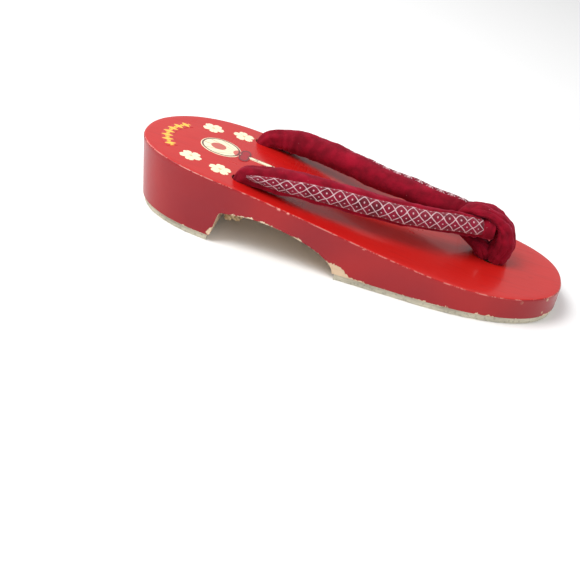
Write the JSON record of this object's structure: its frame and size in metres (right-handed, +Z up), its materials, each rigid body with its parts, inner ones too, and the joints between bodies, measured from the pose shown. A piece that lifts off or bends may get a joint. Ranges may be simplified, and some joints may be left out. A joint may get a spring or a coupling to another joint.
{
  "type": "wooden clog",
  "caption": "Low thonged clog: a curved lacquered wood block with a heel block and an arch, rubber soles, and a padded V-shaped thong of velvet and patterned cloth.",
  "frame": {"origin": "on the ground, under the middle of the clog's length and width", "axes": "+X towards the toe, +Y to the wearer's left, +Z up"},
  "size_m": [0.2, 0.082, 0.0373],
  "materials": {
    "lacquered_wood": "glossy red lacquer on the deck and the sides, bare pale wood underneath",
    "sole_rubber": "matt grey-beige sheet rubber",
    "tack_steel": "dull steel",
    "cap_metal": "thin pressed metal, dull",
    "velvet": "dark crimson velvet",
    "patterned_cloth": "dark crimson cloth with a white lattice of diamonds and dots",
    "wadding": "white cotton wadding",
    "hemp_cord": "twisted hemp",
    "cream_sticker": "satin printed transfer",
    "yellow_sticker": "satin printed transfer"
  },
  "bodies": {
    "root": {"wooden_body": "lacquered_wood", "heel_outsole": "sole_rubber", "front_outsole": "sole_rubber", "heel_sole_tacks": "tack_steel", "front_sole_tacks": "tack_steel", "left_strap_cover": "velvet", "right_strap_cover": "velvet", "left_strap_band": "patterned_cloth", "right_strap_band": "patterned_cloth", "left_strap_padding": "wadding", "right_strap_padding": "wadding", "left_strap_cord": "hemp_cord", "right_strap_cord": "hemp_cord", "left_rear_knot": "hemp_cord", "right_rear_knot": "hemp_cord", "toe_loop_cover": "velvet", "toe_loop_cord": "hemp_cord", "front_knot": "hemp_cord", "front_hole_cap": "cap_metal", "front_cap_tacks": "tack_steel", "blossom_stickers": "cream_sticker", "fan_sticker": "cream_sticker", "heel_strip_sticker": "yellow_sticker"}
  },
  "joints": []
}
